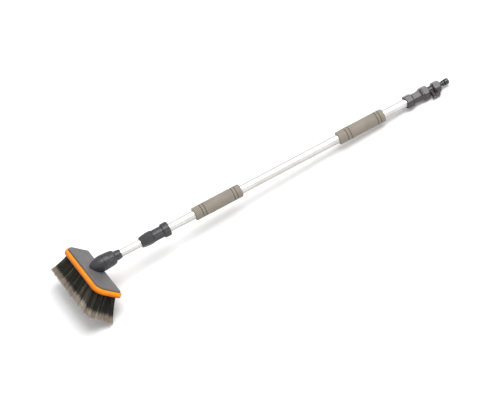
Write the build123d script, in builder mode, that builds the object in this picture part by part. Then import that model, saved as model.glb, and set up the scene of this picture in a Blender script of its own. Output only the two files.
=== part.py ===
"""Telescopic water-fed window cleaning pole with wash brush.

Frame: +X runs along the pole from the brush to the hose inlet, +Z is up, and the
pole lies on a floor at z = 0 (brush edge at one end, valve nuts at the other).
The origin is the centre of the bottom of the bounding box.  Millimetres.
"""
import os
from math import sin, cos, radians

from build123d import *

os.makedirs("parts", exist_ok=True)

# ------------------------------------------------------------------ frame
BETA = 46.0            # angle between the pole and the brush head's normal
TAU = 4.213             # fall of the pole towards the inlet when it lies down
PX, PZ = -463.56, 86.115  # point on the pole axis where it meets the head (s = 0)
HEAD_Y0 = -14.0        # where the pole axis cuts the head's middle plane

ct, st = cos(radians(TAU)), sin(radians(TAU))
A = Vector(ct, 0, -st)                 # along the pole, towards the inlet
U = Vector(st, 0, ct)                  # square to the pole, up
P0 = Vector(PX, 0, PZ)
hb = radians(BETA - TAU)
ZH = Vector(cos(hb), 0, sin(hb))       # head normal (away from the bristles)
YH = Vector(sin(hb), 0, -cos(hb))      # head, towards its back edge
XH = Vector(0, -1, 0)                  # head, along its length
H0 = P0 - YH * HEAD_Y0

POLE = Plane(origin=P0, x_dir=U, z_dir=A)        # sections square to the pole
PROF = Plane(origin=P0, x_dir=A, z_dir=(0, -1, 0))  # profiles: x along, y radial
HEAD = Plane(origin=H0, x_dir=XH, z_dir=ZH)
AXIS = Axis(P0, A)

# ------------------------------------------------------------------ sizes
RIM_L = 207.0                             # orange bumper, length outside
RIM_FRONT, RIM_BACK = 37.0, 35.5          # its front and back edges from the middle
RIM_RF, RIM_RB = 24.0, 9.0                # its front corners are large, its back corners small
RIM_Z0, RIM_Z1, RIM_T = -7.0, 5.2, 4.4    # its lower and upper edge, and its wall
COVER_TOP = 9.6                           # height of the cover's top
COVER_WALL = 2.5
BR_TOP = (190.0, 56.0, 16.0, 10.0)        # bristle field where it leaves the plate: length, width, front and back corner
BR_BOT = (240.0, 78.0, 28.0, 18.0)        # and at the tips
BR_FRONT, BR_BACK = 65.0, 70.0            # depth of the tips, front and back edge

DOME_A, DOME_R = 36.0, 20.0               # neck socket, half length and radius
S_SEAM = 42.4                             # neck socket / union nut joint
NUT_R1, NUT_R2 = 19.7, 16.8               # union nut
S_NUT0, S_NUT1 = 42.8, 73.6
FERR_R = 12.0
S_FERR = 89.0

TUBE_I_R, TUBE_I_W = 9.5, 1.2             # inner tube
S_TI0, S_TI1 = 61.0, 856.0
TUBE_O_R, TUBE_O_W = 11.0, 1.0            # outer tube
SWAGE_R, SWAGE_W = 10.5, 0.7              # necked end of the outer tube
S_TO0, S_BEAD, S_TO1 = 203.0, 250.6, 889.0

S_LN0, S_LN1 = 141.9, 173.8               # twist lock nut
S_LB0, S_LB1 = 151.5, 218.3               # lock body
LOCK_MID_R, LOCK_RING_R = 14.3, 17.7

GRIP_R, GRIP_LEN = 16.4, 128.0
S_G1, S_G2 = 286.6, 682.5

S_COL0, S_COL1 = 872.8, 921.4             # end collar
COL_FL_R, COL_WAIST_R, COL_END_R = 17.4, 13.7, 17.8   # across corners: flange, waist, flare
S_UN0, S_UN1, UN_R = 922.1, 936.4, 17.6   # valve union nut, across corners
BARREL_R = 9.6
S_BALL = 943.4                            # centre of the valve ball
BALL_R, BALL_BORE = 6.4, 3.6
S_IN0, S_IN1, IN_R = 950.2, 970.0, 15.0   # inlet nut, across corners
S_TIP = 994.4                             # free end of the hose nipple
NIP_R = 7.9
HEX_A = 4.4                               # angle of the hexagons about the pole
LEVER_A = 111.6                           # angle of the lever about the pole


def at(s):
    """Section plane square to the pole at station s."""
    return POLE.offset(s)


# outlines of the head, by how far each lies inside the bumper's outside (negative: outside it)
OUTLINE = {}
for inset in (-2.0, 0.0, 0.7, RIM_T, RIM_T + 0.05, RIM_T + 0.25, RIM_T + 0.9, RIM_T + COVER_WALL, RIM_T + COVER_WALL + 0.15,
              RIM_T + 3.0, RIM_T + 5.5, RIM_T + 6.0):
    with BuildSketch() as outline:
        with Locations((0, (RIM_BACK - RIM_FRONT) / 2)):
            Rectangle(RIM_L - 2 * inset, RIM_BACK + RIM_FRONT - 2 * inset)
        fillet(outline.vertices().group_by(Axis.Y)[0], radius=RIM_RF - inset)
        fillet(outline.vertices().group_by(Axis.Y)[-1], radius=max(RIM_RB - inset, 1.2))
    OUTLINE[round(inset, 2)] = outline.sketch

# outlines of the bristle field, at the plate and at the tips, with facetted corners
FIELD = []
for length, width, front_r, back_r in (BR_TOP, BR_BOT):
    points = []
    for sx, sy, r, start in ((1, -1, front_r, -90), (1, 1, back_r, 0), (-1, 1, back_r, 90), (-1, -1, front_r, 180)):
        for k in range(5):
            a = radians(start + 22.5 * k)
            points.append((sx * (length / 2 - r) + r * cos(a), sy * (width / 2 - r) + r * sin(a)))
    with BuildSketch() as outline:
        Polygon(*points, align=None)
    FIELD.append(outline.sketch)


# ================================================================ brush head
with BuildPart() as bumper_rim:
    with BuildSketch(HEAD.offset(RIM_Z0)):
        add(OUTLINE[0.0])
        add(OUTLINE[RIM_T], mode=Mode.SUBTRACT)
    extrude(amount=RIM_Z1 - RIM_Z0)
    ring = [w for w in bumper_rim.wires() if w.length > 2 * (RIM_L + RIM_FRONT + RIM_BACK) - 40]
    upper = [w for w in ring if abs(HEAD.to_local_coords(w.center()).Z - RIM_Z1) < 0.01]
    fillet([e for w in upper for e in w.edges()], radius=3.9)
    ring = [w for w in bumper_rim.wires() if w.length > 2 * (RIM_L + RIM_FRONT + RIM_BACK) - 40]
    lower = [w for w in ring if abs(HEAD.to_local_coords(w.center()).Z - RIM_Z0) < 0.01]
    fillet([e for w in lower for e in w.edges()], radius=2.4)
    # shallow groove round the side, which makes a thin lower lip
    with BuildSketch(HEAD.offset(-3.9)):
        add(OUTLINE[-2.0])
        add(OUTLINE[0.7], mode=Mode.SUBTRACT)
    extrude(amount=1.3, mode=Mode.SUBTRACT)

with BuildPart() as head_cover:
    with BuildSketch(HEAD.offset(-5.0)):
        add(OUTLINE[4.45])
    extrude(amount=8.2)
    with BuildSketch(HEAD.offset(3.2)):
        add(OUTLINE[5.3])
    extrude(amount=COVER_TOP - 3.2)
    top = head_cover.faces().filter_by(lambda f: abs(HEAD.to_local_coords(f.center()).Z - COVER_TOP) < 0.01)
    fillet(top.edges(), radius=1.9)
    with BuildSketch(HEAD.offset(-5.0)):
        add(OUTLINE[6.9])
    extrude(amount=11.4, mode=Mode.SUBTRACT)
    with BuildSketch(HEAD.offset(-2.0)):
        add(OUTLINE[4.65])
        add(OUTLINE[10.4], mode=Mode.SUBTRACT)
    extrude(amount=2.5)
    with BuildSketch(PROF):
        with BuildLine():
            EllipticalCenterArc((S_SEAM, 0), DOME_A + 0.05, DOME_R + 0.05, start_angle=90, arc_size=90)
            Line((S_SEAM - DOME_A - 0.05, 0), (S_SEAM, 0))
            Line((S_SEAM, 0), (S_SEAM, DOME_R + 0.05))
        make_face()
    revolve(axis=AXIS, mode=Mode.SUBTRACT)

with BuildPart() as bristle_plate:
    with BuildSketch(HEAD.offset(-6.0)):
        add(OUTLINE[7.05])
    extrude(amount=3.0)
    with BuildSketch(HEAD.offset(-6.0)):
        with GridLocations(44.0, 22.0, 4, 2):
            Circle(1.6)
    extrude(amount=3.0, mode=Mode.SUBTRACT)

with BuildPart() as head_seal:
    with BuildSketch(HEAD.offset(-3.0)):
        add(OUTLINE[7.4])
        add(OUTLINE[9.9], mode=Mode.SUBTRACT)
    extrude(amount=1.0)

BR_MID = (BR_FRONT + BR_BACK) / 2
tip_tilt = Plane(origin=H0 - ZH * BR_MID, x_dir=XH,
                 z_dir=(ZH + YH * ((BR_BACK - BR_FRONT) / BR_BOT[1])).normalized())
with BuildPart() as bristles:
    with BuildSketch(HEAD.offset(-6.2)):
        add(FIELD[0])
    with BuildSketch(tip_tilt):
        add(FIELD[1])
    loft(ruled=True)

# ================================================================ neck
with BuildPart() as neck_socket:
    with BuildSketch(PROF):
        with BuildLine():
            EllipticalCenterArc((S_SEAM, 0), DOME_A, DOME_R, start_angle=90, arc_size=90)
            Line((S_SEAM - DOME_A, 0), (S_SEAM, 0))
            Line((S_SEAM, 0), (S_SEAM, DOME_R))
        make_face()
    revolve(axis=AXIS)
    split(bisect_by=HEAD.offset(6.4), keep=Keep.TOP)
    with BuildSketch(HEAD.offset(4.0)):
        with Locations((0, 5.0)):
            RectangleRounded(50.0, 44.0, 8.0)
    extrude(amount=2.4)
    with BuildSketch(PROF):
        Polygon((40.0, 0), (40.0, 15.95), (58.4, 15.95), (58.4, 0), align=None)
    revolve(axis=AXIS)
    with BuildSketch(at(61.0)):
        Circle(11.2)
    extrude(amount=-20.0, mode=Mode.SUBTRACT)
    with BuildSketch(at(61.0)):
        Circle(5.5)
    extrude(amount=-60.0, mode=Mode.SUBTRACT)

with BuildPart() as neck_washer:
    with BuildSketch(at(58.4)):
        Circle(15.2)
        Circle(11.4, mode=Mode.SUBTRACT)
    extrude(amount=2.0)

with BuildPart() as neck_ferrule:
    with BuildSketch(PROF):
        Polygon((42.5, 6.5), (42.5, 10.9), (60.4, 10.9), (60.4, 15.2), (65.0, 15.2), (66.0, FERR_R),
                (80.0, FERR_R), (S_FERR - 1.4, 10.9), (S_FERR, 10.2), (S_FERR, TUBE_I_R), (61.0, TUBE_I_R),
                (61.0, 8.3), (58.0, 6.5), align=None)
    revolve(axis=AXIS)
    with BuildSketch(PROF):
        Polygon((47.0, 9.3), (47.0, 11.5), (50.0, 11.5), (50.0, 9.3), align=None)
    revolve(axis=AXIS, mode=Mode.SUBTRACT)

with BuildPart() as ferrule_seal:
    with BuildSketch(PROF):
        with Locations((48.5, 10.2)):
            Circle(0.9)
    revolve(axis=AXIS)

with BuildPart() as head_union_nut:
    with BuildSketch(PROF):
        Polygon((S_NUT0, 16.0), (S_NUT0, NUT_R1 - 0.6), (S_NUT0 + 0.6, NUT_R1), (54.0, 19.1), (64.0, 18.1),
                (69.0, 17.2), (71.6, 16.0), (73.0, 14.4), (S_NUT1, 13.2), (S_NUT1, 12.4), (66.6, 12.4),
                (66.6, 15.6), (64.0, 16.0), align=None)
    revolve(axis=AXIS)
    with BuildSketch(at(S_NUT1 + 1)):
        with PolarLocations(20.2, 12):
            Circle(2.6)
    extrude(amount=-19.0, mode=Mode.SUBTRACT)

# ================================================================ pole
with BuildPart() as inner_tube:
    with BuildSketch(at(S_TI0)):
        Circle(TUBE_I_R)
        Circle(TUBE_I_R - TUBE_I_W, mode=Mode.SUBTRACT)
    extrude(amount=S_TI1 - S_TI0)

with BuildPart() as lock_nut:
    with BuildSketch(at(S_LN0)):
        RegularPolygon(13.3, 6, rotation=38.6)
    with BuildSketch(at(S_LN0 + 9.0)):
        RegularPolygon(15.3, 6, rotation=38.6)
    with BuildSketch(at(S_LN0 + 20.0)):
        RegularPolygon(16.5, 6, rotation=38.6)
    with BuildSketch(at(S_LN0 + 28.0)):
        RegularPolygon(16.7, 6, rotation=38.6)
    with BuildSketch(at(S_LN1)):
        RegularPolygon(16.0, 6, rotation=38.6)
    loft(ruled=True)
    with BuildSketch(PROF):
        Polygon((S_LN0 - 1, 0), (S_LN0 - 1, 11.2), (S_LN0, 11.2), (143.0, 10.45), (145.2, 10.45), (145.2, 11.3),
                (S_LN1 + 1, 11.3), (S_LN1 + 1, 0), align=None)
    revolve(axis=AXIS, mode=Mode.SUBTRACT)

with BuildPart() as lock_collet:
    with BuildSketch(PROF):
        Polygon((142.6, 9.56), (142.6, 10.0), (142.8, 10.15), (145.6, 10.15), (146.4, 10.9), (S_LB0, 10.9), (S_LB0, 9.56),
                align=None)
    revolve(axis=AXIS)
    with BuildSketch(at(142.0)):
        with PolarLocations(10.3, 6):
            Rectangle(2.4, 1.0)
    extrude(amount=7.0, mode=Mode.SUBTRACT)

with BuildPart() as lock_body:
    with BuildSketch(PROF):
        Polygon((S_LB0, 9.9), (S_LB0, 11.25), (174.2, 11.25), (174.2, 15.0), (175.8, 15.2), (176.2, LOCK_MID_R),
                (201.5, LOCK_MID_R), (201.5, LOCK_RING_R - 0.8), (202.6, LOCK_RING_R), (216.6, LOCK_RING_R),
                (S_LB1, LOCK_RING_R - 1.4), (S_LB1, SWAGE_R), (S_TO0, SWAGE_R), (S_TO0, 9.9), (200.0, 9.9),
                (200.0, 11.4), (196.0, 11.4), (196.0, 9.9), align=None)
    revolve(axis=AXIS)
    with BuildSketch(at(177.6)):
        with PolarLocations(LOCK_MID_R + 1.1, 8, start_angle=17.6):
            Circle(1.9)
    extrude(amount=22.4, mode=Mode.SUBTRACT)
    with BuildSketch(at(203.4)):
        with PolarLocations(LOCK_RING_R + 0.95, 8, start_angle=17.6):
            Circle(1.9)
    extrude(amount=20.0, mode=Mode.SUBTRACT)

with BuildPart() as lock_seal:
    with BuildSketch(PROF):
        Polygon((196.0, 9.56), (196.0, 11.4), (200.0, 11.4), (200.0, 9.56), align=None)
    revolve(axis=AXIS)

with BuildPart() as outer_tube:
    with BuildSketch(PROF):
        Polygon((S_TO0, SWAGE_R - SWAGE_W), (S_TO0, SWAGE_R), (S_BEAD - 1.6, SWAGE_R), (S_BEAD - 0.8, TUBE_O_R + 0.3),
                (S_BEAD + 0.3, TUBE_O_R + 0.3), (S_BEAD + 1.0, TUBE_O_R), (S_TO1, TUBE_O_R),
                (S_TO1, TUBE_O_R - TUBE_O_W), (S_BEAD + 0.6, TUBE_O_R - TUBE_O_W), (S_BEAD - 1.4, SWAGE_R - SWAGE_W),
                align=None)
    revolve(axis=AXIS)

with BuildPart() as guide_bush:
    with BuildSketch(PROF):
        Polygon((838.0, 6.0), (838.0, 8.22), (S_TI1 + 0.2, 8.22), (S_TI1 + 0.2, 9.94), (861.0, 9.94), (861.0, 8.2),
                (865.0, 8.2), (865.0, 9.94), (870.0, 9.94), (870.0, 6.0), align=None)
    revolve(axis=AXIS)

with BuildPart() as guide_seal:
    with BuildSketch(PROF):
        with BuildLine():
            Polyline((861.4, 8.2), (861.4, 9.5), (862.2, 9.95), (863.8, 9.95), (864.6, 9.5), (864.6, 8.2), close=True)
        make_face()
    revolve(axis=AXIS)

# foam sleeves with two pairs of grooves each
with BuildPart() as grip_front:
    with BuildSketch(PROF):
        Polygon((S_G1, TUBE_O_R), (S_G1, GRIP_R - 3.0), (S_G1 + 1.2, GRIP_R - 0.9), (S_G1 + 3.6, GRIP_R),
                (S_G1 + 18.2, GRIP_R), (S_G1 + 18.8, GRIP_R - 1.1), (S_G1 + 20.2, GRIP_R - 1.1), (S_G1 + 20.8, GRIP_R),
                (S_G1 + 26.6, GRIP_R), (S_G1 + 27.2, GRIP_R - 1.1), (S_G1 + 28.6, GRIP_R - 1.1), (S_G1 + 29.2, GRIP_R),
                (S_G1 + 103.6, GRIP_R), (S_G1 + 104.2, GRIP_R - 1.1), (S_G1 + 105.6, GRIP_R - 1.1), (S_G1 + 106.2, GRIP_R),
                (S_G1 + 111.6, GRIP_R), (S_G1 + 112.2, GRIP_R - 1.1), (S_G1 + 113.6, GRIP_R - 1.1), (S_G1 + 114.2, GRIP_R),
                (S_G1 + GRIP_LEN - 3.6, GRIP_R), (S_G1 + GRIP_LEN - 1.2, GRIP_R - 0.9),
                (S_G1 + GRIP_LEN, GRIP_R - 3.0), (S_G1 + GRIP_LEN, TUBE_O_R), align=None)
    revolve(axis=AXIS)

with BuildPart() as grip_rear:
    with BuildSketch(PROF):
        Polygon((S_G2, TUBE_O_R), (S_G2, GRIP_R - 3.0), (S_G2 + 1.2, GRIP_R - 0.9), (S_G2 + 3.6, GRIP_R),
                (S_G2 + 21.4, GRIP_R), (S_G2 + 22.0, GRIP_R - 1.1), (S_G2 + 23.4, GRIP_R - 1.1), (S_G2 + 24.0, GRIP_R),
                (S_G2 + 30.6, GRIP_R), (S_G2 + 31.2, GRIP_R - 1.1), (S_G2 + 32.6, GRIP_R - 1.1), (S_G2 + 33.2, GRIP_R),
                (S_G2 + 105.0, GRIP_R), (S_G2 + 105.6, GRIP_R - 1.1), (S_G2 + 107.0, GRIP_R - 1.1), (S_G2 + 107.6, GRIP_R),
                (S_G2 + 113.4, GRIP_R), (S_G2 + 114.0, GRIP_R - 1.1), (S_G2 + 115.4, GRIP_R - 1.1), (S_G2 + 116.0, GRIP_R),
                (S_G2 + GRIP_LEN - 3.6, GRIP_R), (S_G2 + GRIP_LEN - 1.2, GRIP_R - 0.9),
                (S_G2 + GRIP_LEN, GRIP_R - 3.0), (S_G2 + GRIP_LEN, TUBE_O_R), align=None)
    revolve(axis=AXIS)

# ================================================================ inlet end
with BuildPart() as end_collar:
    with BuildSketch(at(S_COL0)):
        RegularPolygon(COL_FL_R - 0.9, 6, rotation=HEX_A)
    with BuildSketch(at(S_COL0 + 3.0)):
        RegularPolygon(COL_FL_R, 6, rotation=HEX_A)
    with BuildSketch(at(890.6)):
        RegularPolygon(COL_FL_R, 6, rotation=HEX_A)
    with BuildSketch(at(893.6)):
        RegularPolygon(COL_WAIST_R, 6, rotation=HEX_A)
    with BuildSketch(at(909.5)):
        RegularPolygon(COL_WAIST_R, 6, rotation=HEX_A)
    with BuildSketch(at(914.0)):
        RegularPolygon(14.9, 6, rotation=HEX_A)
    with BuildSketch(at(918.0)):
        RegularPolygon(17.3, 6, rotation=HEX_A)
    with BuildSketch(at(919.4)):
        RegularPolygon(COL_END_R, 6, rotation=HEX_A)
    with BuildSketch(at(S_COL1)):
        RegularPolygon(COL_END_R, 6, rotation=HEX_A)
    loft(ruled=True)
    # the corners are rounded off
    with BuildSketch(PROF):
        Polygon((S_COL0, 0), (S_COL0, COL_FL_R - 1.5), (S_COL0 + 3.0, COL_FL_R - 0.5), (890.6, COL_FL_R - 0.5),
                (893.6, COL_WAIST_R - 0.4), (909.5, COL_WAIST_R - 0.4), (914.0, 14.5), (918.0, 16.8), (919.4, 17.3),
                (S_COL1, 17.3), (S_COL1, 0), align=None)
    revolve(axis=AXIS, mode=Mode.INTERSECT)
    with BuildSketch(at(S_COL1)):
        Circle(10.4)
    extrude(amount=930.0 - S_COL1)
    # flared mouth, socket of the tube, and water way
    with BuildSketch(PROF):
        Polygon((S_COL0 - 1, 0), (S_COL0 - 1, 14.1), (S_COL0, 14.0), (878.0, 13.2), (881.0, TUBE_O_R + 0.9),
                (881.0, TUBE_O_R), (890.0, TUBE_O_R), (890.0, 9.0), (893.0, 9.0), (893.0, 6.5), (931.0, 6.5), (931.0, 0),
                align=None)
    revolve(axis=AXIS, mode=Mode.SUBTRACT)
    # scalloped mouth: two claws stay, above and below
    with BuildSketch(Plane(origin=P0 + A * (S_COL0 - 11.0), x_dir=A,
                           z_dir=U * cos(radians(51.6)) + Vector(0, -1, 0) * sin(radians(51.6)))):
        Circle(14.0)
    extrude(amount=24.0, both=True, mode=Mode.SUBTRACT)

with BuildPart() as tube_end_seal:
    with BuildSketch(at(889.1)):
        Circle(10.9)
        Circle(9.2, mode=Mode.SUBTRACT)
    extrude(amount=0.8)

with BuildPart() as valve_union_nut:
    with BuildSketch(at(S_UN0)):
        RegularPolygon(UN_R, 6, rotation=HEX_A)
    extrude(amount=S_UN1 - S_UN0)
    with BuildSketch(PROF):
        Polygon((S_UN0 - 1, 16.4), (S_UN0 - 1, 25), (S_UN1 + 1, 25), (S_UN1 + 1, 13.4), (S_UN1, 14.6),
                (S_UN1 - 2.6, UN_R + 0.2), (S_UN0 + 1.2, UN_R + 0.2), (S_UN0, 16.4), align=None)
    revolve(axis=AXIS, mode=Mode.SUBTRACT)
    with BuildSketch(PROF):
        Polygon((S_UN0 - 1, 0), (S_UN0 - 1, 10.45), (934.6, 10.45), (934.6, BARREL_R - 1.0), (S_UN1 + 1, BARREL_R - 1.0),
                (S_UN1 + 1, 0), align=None)
    revolve(axis=AXIS, mode=Mode.SUBTRACT)

with BuildPart() as union_washer:
    with BuildSketch(at(930.0)):
        Circle(9.9)
        Circle(6.6, mode=Mode.SUBTRACT)
    extrude(amount=1.6)

with BuildPart() as valve_body:
    with BuildSketch(PROF):
        Polygon((931.6, 0), (931.6, 9.9), (934.2, 9.9), (934.2, 8.4), (936.8, 8.4), (936.8, BARREL_R - 0.6),
                (937.4, BARREL_R), (948.8, BARREL_R), (949.6, BARREL_R - 0.8), (949.6, 8.0), (962.0, 8.0), (962.0, 0),
                align=None)
    revolve(axis=AXIS)
    # stem housing, square to the pole
    with BuildSketch(Plane(origin=P0 + A * S_BALL, x_dir=A,
                           z_dir=U * cos(radians(LEVER_A)) + Vector(0, -1, 0) * sin(radians(LEVER_A)))):
        Circle(5.2)
    extrude(amount=14.0)
    # water way and ball chamber
    with BuildSketch(PROF):
        Polygon((930.0, 0), (930.0, 4.0), (935.6, 4.0), (935.6, 6.9), (951.2, 6.9), (951.2, 4.0), (963.0, 4.0), (963.0, 0),
                align=None)
    revolve(axis=AXIS, mode=Mode.SUBTRACT)
    with BuildSketch(Plane(origin=P0 + A * S_BALL, x_dir=A,
                           z_dir=U * cos(radians(LEVER_A)) + Vector(0, -1, 0) * sin(radians(LEVER_A)))):
        Circle(2.55)
    extrude(amount=16.0, mode=Mode.SUBTRACT)
    with BuildSketch(Plane(origin=P0 + A * S_BALL, x_dir=A,
                           z_dir=U * cos(radians(LEVER_A)) + Vector(0, -1, 0) * sin(radians(LEVER_A))).offset(10.0)):
        Circle(3.6)
    extrude(amount=2.4, mode=Mode.SUBTRACT)

LEV = Plane(origin=P0 + A * S_BALL, x_dir=A,
            z_dir=U * cos(radians(LEVER_A)) + Vector(0, -1, 0) * sin(radians(LEVER_A)))

with BuildPart() as valve_ball:
    with BuildSketch(PROF):
        with BuildLine():
            CenterArc((S_BALL, 0), BALL_R, 0, 180)
            Line((S_BALL - BALL_R, 0), (S_BALL + BALL_R, 0))
        make_face()
    revolve(axis=AXIS)
    with BuildSketch(at(S_BALL)):
        Circle(BALL_BORE)
    extrude(amount=10.0, both=True, mode=Mode.SUBTRACT)
    with BuildSketch(LEV.offset(5.0)):
        Rectangle(6.0, 2.1)
    extrude(amount=4.0, mode=Mode.SUBTRACT)

with BuildPart() as valve_seats:
    with BuildSketch(PROF):
        Polygon((935.6, 4.2), (935.6, 6.9), (938.0, 6.9), (938.0, 5.2), (937.2, 4.2), align=None)
        Polygon((951.2, 4.2), (951.2, 6.9), (948.8, 6.9), (948.8, 5.2), (949.6, 4.2), align=None)
    revolve(axis=AXIS)

with BuildPart() as valve_stem:
    with BuildSketch(LEV.offset(7.0)):
        Circle(2.5)
    extrude(amount=12.6)
    with BuildSketch(LEV.offset(5.0)):
        Rectangle(3.0, 2.0)
    extrude(amount=2.0)

with BuildPart() as stem_seal:
    with BuildSketch(LEV.offset(10.05)):
        Circle(3.6)
        Circle(2.55, mode=Mode.SUBTRACT)
    extrude(amount=2.3)

with BuildPart() as valve_lever:
    with BuildSketch(LEV.offset(14.4)):
        Circle(5.4)
    extrude(amount=10.8)
    with BuildSketch(LEV.offset(19.6)):
        with Locations((7.6, 0)):
            RectangleRounded(15.2, 7.0, 2.6)
    extrude(amount=5.6)
    top = valve_lever.faces().sort_by(Axis(P0, LEV.z_dir))[-1]
    fillet(top.edges(), radius=1.1)
    with BuildSketch(LEV.offset(14.0)):
        Circle(2.5)
    extrude(amount=5.6, mode=Mode.SUBTRACT)
    with BuildSketch(LEV.offset(23.2)):
        Circle(2.6)
    extrude(amount=3.0, mode=Mode.SUBTRACT)
    with BuildSketch(LEV.offset(19.0)):
        Circle(1.25)
    extrude(amount=6.0, mode=Mode.SUBTRACT)

with BuildPart() as lever_screw:
    with BuildSketch(LEV.offset(19.6)):
        Circle(1.25)
    extrude(amount=3.6)
    with BuildSketch(LEV.offset(23.2)):
        Circle(2.5)
    extrude(amount=1.8)
    with BuildSketch(LEV.offset(24.2)):
        Rectangle(3.6, 0.8)
        Rectangle(0.8, 3.6)
    extrude(amount=1.0, mode=Mode.SUBTRACT)

with BuildPart() as inlet_nut:
    with BuildSketch(at(S_IN0 + 2.4)):
        RegularPolygon(IN_R, 6, rotation=HEX_A)
    extrude(amount=S_IN1 - S_IN0 - 2.4)
    with BuildSketch(PROF):
        Polygon((S_IN0, 8.05), (S_IN0, 13.4), (S_IN0 + 0.5, 14.1), (S_IN0 + 1.5, 14.1), (S_IN0 + 1.9, 12.4),
                (S_IN0 + 2.4, 12.4), (S_IN0 + 2.4, 8.05), align=None)
    revolve(axis=AXIS)
    with BuildSketch(PROF):
        Polygon((S_IN0 + 2.4, 14.0), (S_IN0 + 2.4, 25), (S_IN1 + 1, 25), (S_IN1 + 1, 10.4), (S_IN1, 11.4),
                (S_IN1 - 3.4, IN_R + 0.2), (S_IN0 + 3.2, IN_R + 0.2), align=None)
    revolve(axis=AXIS, mode=Mode.SUBTRACT)
    with BuildSketch(PROF):
        Polygon((S_IN0 - 1, 0), (S_IN0 - 1, 8.05), (966.6, 8.05), (966.6, 6.4), (S_IN1 + 1, 6.4), (S_IN1 + 1, 0),
                align=None)
    revolve(axis=AXIS, mode=Mode.SUBTRACT)

with BuildPart() as inlet_washer:
    with BuildSketch(at(962.0)):
        Circle(7.6)
        Circle(4.2, mode=Mode.SUBTRACT)
    extrude(amount=1.4)

with BuildPart() as hose_nipple:
    with BuildSketch(PROF):
        Polygon((963.4, 4.0), (963.4, 7.6), (966.2, 7.6), (966.2, 6.05), (970.2, 6.05), (971.0, 6.6), (972.2, 6.6),
                (973.6, 5.8), (976.2, 5.8), (977.2, 7.3), (981.0, 7.3), (981.8, 6.4), (981.8, 5.2), (984.2, 5.2),
                (984.2, NIP_R - 0.4), (984.8, NIP_R), (992.2, NIP_R), (S_TIP, 6.6), (S_TIP, 4.0), align=None)
    revolve(axis=AXIS)

with BuildPart() as nipple_oring:
    with BuildSketch(PROF):
        with Locations((983.0, 6.2)):
            Circle(1.0)
    revolve(axis=AXIS)

# ================================================================ output
pieces = {
    "bristles": bristles, "bristle_plate": bristle_plate, "head_seal": head_seal, "bumper_rim": bumper_rim,
    "head_cover": head_cover, "neck_socket": neck_socket, "neck_washer": neck_washer,
    "head_union_nut": head_union_nut, "neck_ferrule": neck_ferrule, "ferrule_seal": ferrule_seal,
    "inner_tube": inner_tube, "lock_nut": lock_nut, "lock_collet": lock_collet, "lock_body": lock_body,
    "lock_seal": lock_seal, "guide_bush": guide_bush, "guide_seal": guide_seal, "outer_tube": outer_tube,
    "grip_front": grip_front, "grip_rear": grip_rear, "end_collar": end_collar, "tube_end_seal": tube_end_seal,
    "valve_union_nut": valve_union_nut, "union_washer": union_washer, "valve_body": valve_body,
    "valve_ball": valve_ball, "valve_seats": valve_seats, "valve_stem": valve_stem, "stem_seal": stem_seal,
    "valve_lever": valve_lever, "lever_screw": lever_screw, "inlet_nut": inlet_nut, "inlet_washer": inlet_washer,
    "hose_nipple": hose_nipple, "nipple_oring": nipple_oring,
}
for name, piece in pieces.items():
    piece.part.label = name
    export_step(piece.part, f"parts/{name}.step")
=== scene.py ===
import math

import bmesh
import bpy
import numpy as np
from mathutils import Matrix, Vector


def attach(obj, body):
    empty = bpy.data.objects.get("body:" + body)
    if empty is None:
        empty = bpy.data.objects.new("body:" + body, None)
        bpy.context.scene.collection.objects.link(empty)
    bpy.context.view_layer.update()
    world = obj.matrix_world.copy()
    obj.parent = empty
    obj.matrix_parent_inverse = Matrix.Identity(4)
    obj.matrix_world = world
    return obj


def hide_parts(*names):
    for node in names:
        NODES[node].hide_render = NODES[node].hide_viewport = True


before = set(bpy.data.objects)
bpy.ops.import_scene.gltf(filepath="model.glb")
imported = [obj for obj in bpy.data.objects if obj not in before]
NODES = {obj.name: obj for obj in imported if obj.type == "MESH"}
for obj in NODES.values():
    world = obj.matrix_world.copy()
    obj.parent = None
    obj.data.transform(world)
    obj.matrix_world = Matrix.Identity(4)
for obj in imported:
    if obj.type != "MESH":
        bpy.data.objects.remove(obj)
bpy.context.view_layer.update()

# ------------------------------------------------------------------ geometry of the frame (metres)
MM = 0.001
BETA, TAU = 46.0, 4.213
hb = math.radians(BETA - TAU)
ct, st = math.cos(math.radians(TAU)), math.sin(math.radians(TAU))
A = np.array([ct, 0.0, -st])              # along the pole, to the hose inlet
U = np.array([st, 0.0, ct])               # square to the pole, up
V = np.array([0.0, -1.0, 0.0])            # square to both
P0 = np.array([-463.56, 0.0, 86.115]) * MM
XH = np.array([0.0, -1.0, 0.0])
YH = np.array([math.sin(hb), 0.0, -math.cos(hb)])
ZH = np.array([math.cos(hb), 0.0, math.sin(hb)])
H0 = P0 + YH * 14.0 * MM


def head(p):
    """Points given in the brush head's own axes (mm) in the row frame (m)."""
    p = np.asarray(p, float)
    return H0 + MM * (p[..., 0:1] * XH + p[..., 1:2] * YH + p[..., 2:3] * ZH)


def pole(s, r, ang):
    """Points at station s and radius r (mm), angle ang from up round towards -Y, in the row frame (m)."""
    s, r, ang = np.broadcast_arrays(np.asarray(s, float), np.asarray(r, float), np.asarray(ang, float))
    return P0 + MM * (s[..., None] * A + (r * np.cos(ang))[..., None] * U + (r * np.sin(ang))[..., None] * V)


def new_mesh(name, verts, faces, smooth=True):
    me = bpy.data.meshes.new(name)
    verts = np.asarray(verts, np.float32)
    me.vertices.add(len(verts))
    me.vertices.foreach_set("co", verts.ravel())
    faces = np.asarray(faces, np.int32)
    n, k = faces.shape
    me.loops.add(n * k)
    me.loops.foreach_set("vertex_index", faces.ravel())
    me.polygons.add(n)
    me.polygons.foreach_set("loop_start", np.arange(n, dtype=np.int32) * k)
    me.update(calc_edges=True)
    me.validate()
    if smooth:
        me.polygons.foreach_set("use_smooth", np.ones(len(me.polygons), bool))
    ob = bpy.data.objects.new(name, me)
    bpy.context.scene.collection.objects.link(ob)
    return ob


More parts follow.
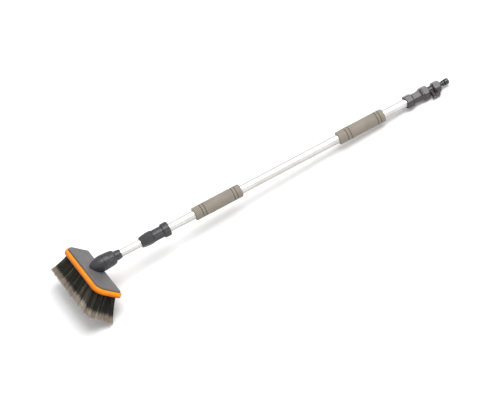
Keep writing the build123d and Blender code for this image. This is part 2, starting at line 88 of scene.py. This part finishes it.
# ------------------------------------------------------------------ camera, as the picture is taken
CAM = np.array([[0.43510868, 0.79709979, 0.41870319],
                [-0.47162353, -0.19436057, 0.86011349],
                [0.76697567, -0.57171312, 0.29136305]])
cam_pos = head([4606.29, -3111.64, 2018.53])
basis = np.stack([XH, YH, ZH])            # rows: head axes in the row frame
cam_axes = CAM @ basis                    # rows: camera x, y, z in the row frame
cd = bpy.data.cameras.new("camera")
cam = bpy.data.objects.new("camera", cd)
bpy.context.scene.collection.objects.link(cam)
m = Matrix.Identity(4)
for i in range(3):
    for j in range(3):
        m[j][i] = cam_axes[i][j]
    m[i][3] = cam_pos[i]
cam.matrix_world = m
cd.sensor_fit, cd.sensor_width, cd.lens = "HORIZONTAL", 36.0, 181.44
cd.clip_start, cd.clip_end = 0.05, 60.0
bpy.context.scene.camera = cam


# ------------------------------------------------------------------ materials
def srgb(r, g, b):
    def f(c):
        c /= 255.0
        return c / 12.92 if c <= 0.04045 else ((c + 0.055) / 1.055) ** 2.4
    return (f(r), f(g), f(b), 1.0)


class Mat:
    """A small helper that builds a node material round one Principled shader."""

    def __init__(self, name, rough=0.5, metal=0.0, spec=0.5, coat=0.0, coat_rough=0.1, sheen=0.0, sheen_rough=0.5,
                 aniso=0.0, sss=0.0):
        self.m = bpy.data.materials.new(name)
        self.m.use_nodes = True
        self.t = self.m.node_tree
        self.n, self.l = self.t.nodes, self.t.links
        self.b = self.n["Principled BSDF"]
        self.b.inputs["Roughness"].default_value = rough
        self.b.inputs["Metallic"].default_value = metal
        self.b.inputs["Specular IOR Level"].default_value = spec
        self.b.inputs["Coat Weight"].default_value = coat
        self.b.inputs["Coat Roughness"].default_value = coat_rough
        self.b.inputs["Sheen Weight"].default_value = sheen
        self.b.inputs["Sheen Roughness"].default_value = sheen_rough
        self.b.inputs["Anisotropic"].default_value = aniso
        self.b.inputs["Subsurface Weight"].default_value = sss
        self.b.inputs["Subsurface Scale"].default_value = 0.002
        self.co = self.n.new("ShaderNodeTexCoord").outputs["Object"]

    def along_pole(self, sx, sy, sz):
        """Object coordinates turned so that X runs along the pole, then scaled."""
        rot = self.n.new("ShaderNodeMapping")
        rot.vector_type = "POINT"
        rot.inputs["Rotation"].default_value = (0, -math.radians(TAU), 0)
        self.l.new(self.co, rot.inputs["Vector"])
        sc = self.n.new("ShaderNodeMapping")
        sc.inputs["Scale"].default_value = (sx, sy, sz)
        self.l.new(rot.outputs[0], sc.inputs["Vector"])
        return sc.outputs[0]

    def side(self):
        """Distance (m) from the pole's axis towards its upper rear side; negative on its lower front side."""
        d = U * math.cos(math.radians(30.0)) - V * math.sin(math.radians(30.0))
        n = self.n.new("ShaderNodeVectorMath")
        n.operation = "DOT_PRODUCT"
        self.l.new(self.co, n.inputs[0])
        n.inputs[1].default_value = tuple(float(x) for x in d)
        return self.math("SUBTRACT", n.outputs["Value"], float(P0 @ d))

    def noise(self, scale, detail=3.0, rough=0.55, co=None, dist=0.0):
        n = self.n.new("ShaderNodeTexNoise")
        n.inputs["Scale"].default_value = scale
        n.inputs["Detail"].default_value = detail
        n.inputs["Roughness"].default_value = rough
        n.inputs["Distortion"].default_value = dist
        self.l.new(co or self.co, n.inputs["Vector"])
        return n.outputs["Fac"]

    def voronoi(self, scale, co=None, feature="F1", out="Distance"):
        n = self.n.new("ShaderNodeTexVoronoi")
        n.feature = feature
        n.inputs["Scale"].default_value = scale
        self.l.new(co or self.co, n.inputs["Vector"])
        return n.outputs[out]

    def attr(self, name):
        n = self.n.new("ShaderNodeAttribute")
        n.attribute_name = name
        return n.outputs["Fac"]

    def math(self, op, a, b=None, c=None, clamp=False):
        n = self.n.new("ShaderNodeMath")
        n.operation, n.use_clamp = op, clamp
        for i, v in enumerate((a, b, c)):
            if v is None:
                continue
            if isinstance(v, (int, float)):
                n.inputs[i].default_value = v
            else:
                self.l.new(v, n.inputs[i])
        return n.outputs[0]

    def ramp(self, fac, stops, interp="LINEAR"):
        n = self.n.new("ShaderNodeValToRGB")
        n.color_ramp.interpolation = interp
        e = n.color_ramp.elements
        while len(e) < len(stops):
            e.new(0.5)
        for k, (p, c) in enumerate(stops):
            e[k].position, e[k].color = p, c
        self.l.new(fac, n.inputs["Fac"])
        return n.outputs["Color"]

    def mix(self, fac, a, b, blend="MIX"):
        n = self.n.new("ShaderNodeMix")
        n.data_type, n.blend_type = "RGBA", blend
        for sock, v in ((n.inputs[0], fac), (n.inputs[6], a), (n.inputs[7], b)):
            if isinstance(v, (int, float)):
                sock.default_value = v
            elif isinstance(v, tuple):
                sock.default_value = v
            else:
                self.l.new(v, sock)
        return n.outputs[2]

    def rng(self, v, a, b, lo=0.0, hi=1.0):
        n = self.n.new("ShaderNodeMapRange")
        n.inputs["From Min"].default_value, n.inputs["From Max"].default_value = lo, hi
        n.inputs["To Min"].default_value, n.inputs["To Max"].default_value = a, b
        self.l.new(v, n.inputs["Value"])
        return n.outputs[0]

    def edges(self, radius):
        """1 on convex edges, 0 on open faces: where the rounded normal leaves the true one."""
        bev = self.n.new("ShaderNodeBevel")
        bev.samples = 6
        bev.inputs["Radius"].default_value = radius
        geo = self.n.new("ShaderNodeNewGeometry")
        dot = self.n.new("ShaderNodeVectorMath")
        dot.operation = "DOT_PRODUCT"
        self.l.new(bev.outputs[0], dot.inputs[0])
        self.l.new(geo.outputs["Normal"], dot.inputs[1])
        self.bev = bev.outputs[0]
        return self.math("SUBTRACT", 1.0, dot.outputs["Value"], clamp=True)

    def bump(self, *pairs, normal=None):
        """pairs of (height, strength, distance in metres), laid over each other."""
        last = normal
        for h, s, d in pairs:
            n = self.n.new("ShaderNodeBump")
            n.inputs["Strength"].default_value = s
            n.inputs["Distance"].default_value = d
            self.l.new(h, n.inputs["Height"])
            if last is not None:
                self.l.new(last, n.inputs["Normal"])
            last = n.outputs[0]
        self.l.new(last, self.b.inputs["Normal"])

    def color(self, c):
        self.l.new(c, self.b.inputs["Base Color"])

    def rough(self, v):
        self.l.new(v, self.b.inputs["Roughness"])


def plastic(name, base, light, rough=(0.42, 0.58), grain=2600.0, grain_h=0.00003, grain_s=0.35, wear_and_highlight=0.25,
            radius=0.0005, spec=0.45, coat=0.0):
    """Moulded plastic: fine spark-eroded grain, soft tone drift, paler and smoother along convex edges, partly worn by
    rubbing and partly a painted highlight.
    """
    q = Mat(name, spec=spec, coat=coat, coat_rough=0.25)
    fine = q.noise(grain, 2.0, 0.6)
    drift = q.noise(38.0, 4.0, 0.6)
    spots = q.noise(420.0, 3.0, 0.65)
    c = q.ramp(drift, [(0.30, base), (0.72, light)])
    c = q.mix(q.rng(spots, 0.0, 0.22, 0.45, 0.75), c, light)
    edge = q.edges(radius)
    # convex edges: partly worn by rubbing, partly a painted highlight that lightens the colour
    rub_and_highlight = q.math("MULTIPLY", q.rng(edge, 0.0, 1.0, 0.03, 0.22), q.rng(spots, 0.4, 1.0, 0.3, 0.7), clamp=True)
    pale = tuple(min(1.0, v * 2.1 + 0.01) for v in light[:3]) + (1.0,)
    c = q.mix(q.math("MULTIPLY", rub_and_highlight, wear_and_highlight), c, pale)
    q.color(c)
    r = q.rng(q.noise(160.0, 3.0, 0.6), rough[0], rough[1], 0.3, 0.7)
    q.rough(q.math("SUBTRACT", r, q.math("MULTIPLY", rub_and_highlight, 0.10)))
    q.bump((q.noise(95.0, 3.0, 0.5), 0.10, 0.00012), (fine, grain_s, grain_h), normal=q.bev)
    return q.m


def rubber(name, base, light, rough=0.75, scale=1500.0):
    q = Mat(name, rough=rough, spec=0.4, sheen=0.05)
    c = q.ramp(q.noise(120.0, 4.0, 0.6), [(0.35, base), (0.7, light)])
    q.color(c)
    q.rough(q.rng(q.noise(300.0, 3.0), rough - 0.10, rough + 0.08, 0.3, 0.7))
    q.bump((q.noise(scale, 3.0, 0.6), 0.4, 0.00004))
    return q.m


def aluminium(name, base=(0.74, 0.74, 0.73, 1.0), light=(0.86, 0.86, 0.85, 1.0), rough=(0.30, 0.42)):
    """Drawn and anodised tube: long faint die lines, soft cloudy tone, painted shade darkening its lower front side, a
    few fine handling scratches.
    """
    q = Mat(name, metal=1.0, spec=0.5)
    lines = q.noise(1.0, 3.0, 0.6, co=q.along_pole(4.0, 1500.0, 1500.0))
    broad = q.noise(1.0, 2.0, 0.5, co=q.along_pole(1.5, 260.0, 260.0))
    cloud = q.noise(26.0, 4.0, 0.6)
    c = q.ramp(q.math("ADD", q.math("MULTIPLY", lines, 0.55), q.math("MULTIPLY", cloud, 0.45)), [(0.32, base), (0.66, light)])
    scr = q.voronoi(1.0, co=q.along_pole(60.0, 420.0, 420.0), feature="DISTANCE_TO_EDGE")
    scratch = q.math("MULTIPLY", q.rng(scr, 1.0, 0.0, 0.0, 0.02), q.rng(q.noise(70.0, 2.0), 0.0, 1.0, 0.56, 0.7), clamp=True)
    c = q.mix(q.math("MULTIPLY", scratch, 0.35), c, (0.55, 0.55, 0.56, 1.0))
    # painted shade: the colour darkens towards the tube's lower front side
    underside_shade = q.rng(q.math("ADD", q.side(), q.math("MULTIPLY", q.math("SUBTRACT", cloud, 0.5), 0.004)), 1.0, 0.0, -0.0070, 0.0010)
    c = q.mix(underside_shade, c, (0.60, 0.585, 0.56, 1.0), "MULTIPLY")
    q.color(c)
    r = q.rng(q.math("ADD", q.math("MULTIPLY", lines, 0.5), q.math("MULTIPLY", broad, 0.5)), rough[0], rough[1], 0.35, 0.65)
    q.rough(q.math("ADD", r, q.math("MULTIPLY", scratch, 0.12)))
    q.bump((broad, 0.05, 0.00005), (lines, 0.10, 0.00002))
    return q.m


def metal(name, base, light, rough=(0.15, 0.3), scale=900.0):
    q = Mat(name, metal=1.0)
    q.color(q.ramp(q.noise(200.0, 4.0), [(0.35, base), (0.7, light)]))
    q.rough(q.rng(q.noise(350.0, 3.0), rough[0], rough[1], 0.3, 0.7))
    q.bump((q.noise(scale, 2.0), 0.15, 0.00002))
    return q.m


M_DARK = plastic("dark_plastic", srgb(39, 39, 43), srgb(52, 51, 55), rough=(0.36, 0.48), coat=0.15)
M_COVER = plastic("cover_grey", srgb(86, 83, 85), srgb(97, 94, 95), rough=(0.46, 0.60), wear_and_highlight=0.18)
M_PLATE = plastic("plate_plastic", srgb(34, 34, 35), srgb(46, 46, 47), rough=(0.5, 0.65))
M_VALVE = plastic("valve_plastic", srgb(37, 31, 35), srgb(50, 42, 45), rough=(0.26, 0.36), wear_and_highlight=0.30, coat=0.30)
M_ALU = aluminium("alu_satin")
M_SEAL = rubber("seal_rubber", srgb(20, 20, 21), srgb(38, 38, 39))
M_POM = plastic("pom_white", srgb(222, 220, 212), srgb(236, 235, 230), rough=(0.32, 0.42), wear_and_highlight=0.0, grain_s=0.15)
M_CHROME = metal("ball_chrome", (0.78, 0.78, 0.80, 1), (0.92, 0.92, 0.93, 1), rough=(0.06, 0.14))
M_BRASS = metal("stem_brass", srgb(176, 140, 70), srgb(208, 172, 96), rough=(0.18, 0.32))
M_STEEL = metal("screw_steel", (0.50, 0.50, 0.52, 1), (0.70, 0.70, 0.71, 1), rough=(0.22, 0.36))


def nipple_black():
    q = Mat("nipple_black", rough=0.16, spec=0.5, coat=0.5, coat_rough=0.08)
    q.color(q.ramp(q.noise(90.0, 4.0), [(0.35, srgb(9, 9, 9)), (0.7, srgb(24, 23, 23))]))
    ringed = q.noise(1.0, 2.0, 0.5, co=q.along_pole(1400.0, 30.0, 30.0))
    q.rough(q.rng(q.noise(240.0, 3.0), 0.12, 0.24, 0.3, 0.7))
    q.bump((q.noise(1400.0, 2.0), 0.08, 0.00002), (ringed, 0.10, 0.00002))
    return q.m


M_NIPPLE = nipple_black()


def bumper_orange():
    """Soft orange bumper: satin elastomer, faint flow lines, painted shade making it darker low down."""
    q = Mat("bumper_orange", rough=0.36, spec=0.22, coat=0.0, coat_rough=0.3, sss=0.05)
    drift = q.noise(45.0, 4.0, 0.6)
    c = q.ramp(drift, [(0.30, srgb(224, 128, 6)), (0.70, srgb(236, 142, 12))])
    high = q.n.new("ShaderNodeVectorMath")
    high.operation = "DOT_PRODUCT"
    q.l.new(q.co, high.inputs[0])
    high.inputs[1].default_value = tuple(float(x) for x in ZH)
    z = q.math("SUBTRACT", high.outputs["Value"], float(H0 @ ZH))   # height over the head's middle
    # painted shade: darker towards the bottom of the rim
    c = q.mix(q.rng(z, 0.85, 0.0, -0.0060, 0.0008), c, srgb(176, 74, 0))
    scuff = q.rng(q.noise(520.0, 4.0, 0.7), 0.0, 1.0, 0.60, 0.78)
    c = q.mix(q.math("MULTIPLY", scuff, 0.35), c, srgb(200, 92, 8))
    q.color(c)
    q.rough(q.rng(q.noise(220.0, 3.0), 0.30, 0.44, 0.3, 0.7))
    q.bump((q.noise(140.0, 3.0), 0.10, 0.00010), (q.noise(2200.0, 2.0), 0.25, 0.00003))
    return q.m


M_ORANGE = bumper_orange()


def foam_taupe():
    """Closed-cell foam sleeve: matte, warm grey, pores at two sizes and faint lengthwise skiving marks."""
    q = Mat("foam_taupe", rough=0.86, spec=0.22, sheen=0.18, sheen_rough=0.6)
    cells = q.voronoi(1900.0, feature="F1")
    pores = q.voronoi(820.0, feature="F1")
    skive = q.noise(1.0, 3.0, 0.6, co=q.along_pole(40.0, 620.0, 620.0))
    drift = q.noise(30.0, 4.0, 0.6)
    c = q.ramp(drift, [(0.28, srgb(120, 113, 103)), (0.72, srgb(135, 127, 116))])
    c = q.mix(q.rng(skive, 0.0, 0.45, 0.42, 0.68), c, srgb(146, 138, 126))
    # painted shade: the pores are darkened in the colour
    c = q.mix(q.rng(pores, 0.55, 0.0, 0.05, 0.30), c, srgb(104, 95, 82))
    # painted shade: darker colour inside the grooves
    c = q.mix(q.rng(q.attr("cut"), 0.0, 0.55, 0.15, 0.9), c, srgb(66, 59, 50))
    c = q.mix(q.rng(q.side(), 0.55, 0.0, -0.016, 0.006), c, srgb(104, 96, 84))   # painted shade, darker towards the lower front side
    q.color(c)
    q.rough(q.rng(pores, 0.95, 0.80, 0.0, 0.5))
    q.bump((skive, 0.25, 0.00012), (pores, 0.55, 0.00022), (cells, 0.35, 0.00008))
    return q.m


M_FOAM = foam_taupe()


def bristle_fibre():
    """Crimped synthetic filament: near-black shaft, random paler olive filaments standing partly for a painted sheen,
    split and sun-bleached tan at the tip.
    """
    q = Mat("bristle_fibre", rough=0.46, spec=0.4, sheen=0.04, sheen_rough=0.45)
    t = q.attr("along")
    rnd = q.attr("each")
    edge = q.math("ADD", t, q.math("MULTIPLY", q.math("SUBTRACT", rnd, 0.5), 0.10))
    # random tone per filament and tuft; its paler olive-grey end is partly a painted sheen
    dark = q.ramp(rnd, [(0.0, srgb(4, 4, 3)), (0.42, srgb(12, 12, 9)), (0.62, srgb(48, 46, 36)), (0.85, srgb(128, 123, 100)), (1.0, srgb(176, 170, 144))])
    tan = q.ramp(rnd, [(0.0, srgb(118, 105, 92)), (0.5, srgb(172, 158, 143)), (1.0, srgb(222, 210, 196))])
    c = q.mix(q.rng(edge, 0.0, 1.0, 0.67, 0.80), dark, tan)
    c = q.mix(q.rng(q.noise(900.0, 3.0), 0.0, 0.25, 0.45, 0.7), c, srgb(60, 55, 46))
    q.color(c)
    q.rough(q.rng(edge, 0.40, 0.72, 0.6, 0.8))
    q.bump((q.noise(5000.0, 2.0), 0.2, 0.00002))
    return q.m


M_BRISTLE = bristle_fibre()

FINISH = {
    "head_cover": M_COVER, "neck_socket": M_DARK, "head_union_nut": M_DARK, "neck_ferrule": M_DARK, "lock_nut": M_DARK,
    "lock_body": M_DARK, "bristle_plate": M_PLATE, "bumper_rim": M_ORANGE, "inner_tube": M_ALU, "outer_tube": M_ALU,
    "end_collar": M_VALVE, "valve_union_nut": M_VALVE, "valve_body": M_VALVE, "valve_lever": M_VALVE,
    "inlet_nut": M_VALVE, "hose_nipple": M_NIPPLE, "lock_collet": M_POM, "guide_bush": M_POM, "valve_seats": M_POM,
    "valve_ball": M_CHROME, "valve_stem": M_BRASS, "lever_screw": M_STEEL,
}
for name, ob in NODES.items():
    ob.data.materials.clear()
    ob.data.materials.append(FINISH.get(name, M_SEAL))


# ------------------------------------------------------------------ foam grips
def grip(name, s0, length, grooves, seed):
    """A foam sleeve turned about the pole: rounded ends, cut grooves, slightly uneven skin, open bore."""
    R, rb = 16.4, 11.05
    prof = [(0.0, rb)]
    for k in range(9):                                     # rounded end, from the bore outwards
        a = math.pi / 2 * k / 8
        prof.append((2.6 * (1 - math.sin(a)) + 0.0, R - 2.6 + 2.6 * math.sin(a)) if k else (0.35, R - 4.0))
    body = []
    s = 2.7
    while s < length - 2.7:
        d = 0.0
        for g in grooves:
            x = abs(s - g)
            if x < 1.15:
                d = max(d, 1.9 * (1 - (x / 1.15) ** 2.4))
            elif x < 2.6:
                d = min(d, -0.10 * math.cos((x - 1.15) / 1.45 * math.pi / 2))   # the lip swells a little beside the cut
        body.append((s, R - d))
        near = min(abs(s - g) for g in grooves)
        s += 0.23 if near < 3.0 else 1.1
    left = [(0.0, rb), (0.0, rb + 1.6), (0.25, R - 3.0), (0.75, R - 1.75), (1.35, R - 0.9), (2.0, R - 0.3)]
    right = [(length - a, b) for a, b in reversed(left)]
    prof = left + body + right
    n, seg = len(prof), 112
    ss = np.array([p[0] for p in prof])
    rr = np.array([p[1] for p in prof])
    ang = np.linspace(0, 2 * np.pi, seg, endpoint=False)
    S, T = np.meshgrid(ss, ang, indexing="ij")
    Rr = np.repeat(rr[:, None], seg, 1)
    rng = np.random.default_rng(seed)
    wob = np.zeros_like(Rr)
    for k in range(14):                                    # foam isn't turned to a true cylinder
        fs, ft, ph = rng.uniform(0.02, 0.16), rng.integers(1, 7), rng.uniform(0, 6.28)
        wob += 0.035 * np.sin(S * fs * 2 + T * ft + ph)
    wob += rng.normal(0, 0.022, wob.shape)
    Rr = np.where(Rr > rb + 0.3, Rr + wob - 0.05, Rr)
    pts = pole(s0 + S, Rr, T).reshape(-1, 3)
    faces = []
    idx = np.arange(n * seg).reshape(n, seg)
    a = idx[:-1, :]
    b = idx[1:, :]
    q = np.stack([a, np.roll(a, -1, 1), np.roll(b, -1, 1), b], -1).reshape(-1, 4)
    bore = np.stack([idx[-1], np.roll(idx[-1], -1), np.roll(idx[0], -1), idx[0]], -1)
    ob = new_mesh(name, pts, np.vstack([q, bore]))
    # the cut attribute marks the grooves for painted shade in the foam's colour
    near = np.min(np.abs(S.reshape(-1, 1) - np.array(grooves)), axis=1)
    cut = np.clip(1.5 - near / 0.9, 0.0, 1.0) * (Rr.ravel() > rb + 1.0)
    ob.data.attributes.new("cut", "FLOAT", "POINT").data.foreach_set("value", cut.astype(np.float32))
    bm = bmesh.new()
    bm.from_mesh(ob.data)
    bmesh.ops.recalc_face_normals(bm, faces=bm.faces)
    bm.to_mesh(ob.data)
    bm.free()
    ob.data.polygons.foreach_set("use_smooth", np.ones(len(ob.data.polygons), bool))
    ob.data.materials.append(M_FOAM)
    return ob


g1 = grip("foam_grip_front", 286.6, 128.0, (19.5, 27.9, 104.9, 112.9), 11)
g2 = grip("foam_grip_rear", 682.5, 128.0, (22.7, 31.9, 106.3, 114.7), 12)
for piece, node in ((g1, "grip_front"), (g2, "grip_rear")):
    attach(piece, "outer_pole")
    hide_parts(node)


# ------------------------------------------------------------------ bristles
def bristle_field():
    """Tufts of crimped filaments set in the plate, fanning outwards, each filament split at its tip."""
    rng = np.random.default_rng(7)
    nx, ny = 27, 7
    tx, ty = 91.5, 24.5                                   # centres of the outer tufts
    gx, gy = 118.2, 36.6                                  # where those tufts' tips are centred

    def inside(x, y, lx, ly, rf, rb_, pad):
        """The point, or the nearest one that lies pad inside a rectangle with rounded corners."""
        r = rf if y < 0 else rb_
        cx, cy = lx - r, ly - r
        ax, ay = abs(x), abs(y)
        if ax > cx and ay > cy:
            h = math.hypot(ax - cx, ay - cy)
            if h > r - pad:
                ax, ay = cx + (ax - cx) / h * (r - pad), cy + (ay - cy) / h * (r - pad)
        return math.copysign(min(ax, lx - pad), x), math.copysign(min(ay, ly - pad), y)

    tufts = []
    for j in range(ny):
        off = 0.25 if j % 2 else -0.25
        for i in range(nx):
            fx = float(np.clip((2 * (i + off) / (nx - 1)) - 1, -1, 1))
            fy = 2 * j / (ny - 1) - 1
            tufts.append((inside(fx * tx, fy * ty, 95.0, 28.0, 16.0, 10.0, 2.6), inside(fx * gx, fy * gy, 122.6, 40.2, 28.0, 18.0, 2.6)))
    groups = {0: [], 1: [], 2: []}
    for root, tip in tufts:
        groups[0 if root[1] < -10 else (1 if root[1] < 10 else 2)].append((root, tip))
    made = []
    for key, word in ((0, "front"), (1, "middle"), (2, "back")):
        V_, F_, T_, E_ = [], [], [], []
        base = 0
        per = 50 if key != 1 else 32
        for (x, y), (gx_, gy_) in groups[key]:
            tone = rng.uniform(0.0, 1.0)
            tuft_len = rng.normal(0, 0.5)
            lean = rng.normal(0, 0.7, 2)
            for k in range(per):
                a_, b_ = rng.uniform(-1, 1, 2)
                r0 = np.array([x + 2.3 * a_, y + 2.3 * b_])
                xtip, ytip = inside(gx_ + lean[0] + 4.9 * a_ + rng.normal(0, 0.9), gy_ + lean[1] + 6.2 * b_ + rng.normal(0, 0.9),
                                    122.6, 40.2, 28.0, 18.0, rng.uniform(0.2, 1.2))
                depth = 67.5 + 2.5 * ytip / 39.0 + tuft_len + rng.normal(0, 0.8) - (1.2 if rng.uniform() < 0.12 else 0.0)
                depth = min(depth, 67.5 + 2.5 * ytip / 39.0 + 0.9)
                z0, z1 = -5.2, -depth
                crimp, ph1, ph2 = rng.uniform(0.15, 0.5), rng.uniform(0, 6.28), rng.uniform(0, 6.28)
                fr = rng.uniform(5.0, 8.0)
                wid = rng.uniform(0.26, 0.36)
                each = float(np.clip(0.50 * rng.uniform() + 0.50 * tone + rng.normal(0, 0.06), 0, 1))

                def at(u, extra=(0.0, 0.0)):
                    w = u ** 1.25                       # leaves the plate square, then leans out
                    px = r0[0] + (xtip - r0[0]) * w + crimp * u * math.sin(fr * u + ph1) + extra[0]
                    py = r0[1] + (ytip - r0[1]) * w + crimp * u * math.sin(fr * u + ph2) + extra[1]
                    return (px, py, z0 + (z1 - z0) * u)

                sides = 3
                rot = rng.uniform(0, 6.28)
                # the shaft
                us = [0.0, 0.25, 0.5, 0.68, 0.80]
                ring = []
                for u in us:
                    c = at(u)
                    w = wid * (1.0 - 0.25 * u)
                    for sd in range(sides):
                        an = rot + 2 * math.pi * sd / sides
                        V_.append((c[0] + w * math.cos(an), c[1] + w * math.sin(an), c[2]))
                        T_.append(u)
                        E_.append(each)
                for q in range(len(us) - 1):
                    for sd in range(sides):
                        a0 = base + q * sides + sd
                        a1 = base + q * sides + (sd + 1) % sides
                        F_.append((a0, a1, a1 + sides, a0 + sides))
                base += len(us) * sides
                # two split ends
                for br in range(2):
                    da = rng.uniform(0, 6.28)
                    spread = rng.uniform(0.25, 1.1)
                    ub = [0.78, 0.89, 1.0 - rng.uniform(0, 0.035)]
                    for q, u in enumerate(ub):
                        f = q / 2.0
                        c = at(u, (spread * f * math.cos(da), spread * f * math.sin(da)))
                        w = wid * (0.72, 0.52, 0.22)[q]
                        for sd in range(sides):
                            an = rot + 2 * math.pi * sd / sides
                            V_.append((c[0] + w * math.cos(an), c[1] + w * math.sin(an), c[2]))
                            T_.append(u)
                            E_.append(float(np.clip(each + rng.normal(0, 0.1), 0, 1)))
                    for q in range(2):
                        for sd in range(sides):
                            a0 = base + q * sides + sd
                            a1 = base + q * sides + (sd + 1) % sides
                            F_.append((a0, a1, a1 + sides, a0 + sides))
                    base += 3 * sides
        pts = head(np.array(V_))
        pts[:, 2] = np.maximum(pts[:, 2], 0.0002)          # tips rest on the floor, not under it
        ob = new_mesh("bristles_" + word, pts, F_)
        for nm, vals in (("along", T_), ("each", E_)):
            at_ = ob.data.attributes.new(nm, "FLOAT", "POINT")
            at_.data.foreach_set("value", np.array(vals, np.float32))
        ob.data.materials.append(M_BRISTLE)
        made.append(ob)
    return made


tufts = bristle_field()
for ob in tufts:
    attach(ob, "inner_pole")
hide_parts("bristles")
for ob in tufts[1:]:
    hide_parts("bristles")

# ------------------------------------------------------------------ floor, world, light
fm = Mat("floor_paint", rough=0.9, spec=0.1)
fm.color(fm.ramp(fm.noise(3.0, 3.0), [(0.3, (0.86, 0.86, 0.86, 1)), (0.7, (0.88, 0.88, 0.88, 1))]))
bpy.ops.mesh.primitive_circle_add(vertices=96, radius=14.0, fill_type="NGON", location=(0, 0, -0.0003))
floor = bpy.context.object
floor.name = "floor"
floor.data.materials.append(fm.m)

world = bpy.data.worlds.new("studio")
bpy.context.scene.world = world
world.use_nodes = True
world.node_tree.nodes["Background"].inputs["Color"].default_value = (1.0, 1.0, 1.0, 1.0)
world.node_tree.nodes["Background"].inputs["Strength"].default_value = 0.86


def area(name, pos, aim, size, watts, color=(1, 1, 1)):
    ld = bpy.data.lights.new(name, "AREA")
    ld.shape, ld.size, ld.energy, ld.color = "DISK", size, watts, color
    ob = bpy.data.objects.new(name, ld)
    ob.location = pos
    ob.rotation_mode = "QUATERNION"
    ob.rotation_quaternion = (Vector(aim) - Vector(pos)).to_track_quat("-Z", "Y")
    bpy.context.scene.collection.objects.link(ob)


area("overhead", (1.25, -1.30, 4.15), (0.05, 0.0, 0.0), 3.6, 185.0)

bpy.context.scene.view_settings.view_transform = "Standard"
bpy.context.scene.view_settings.look = "None"
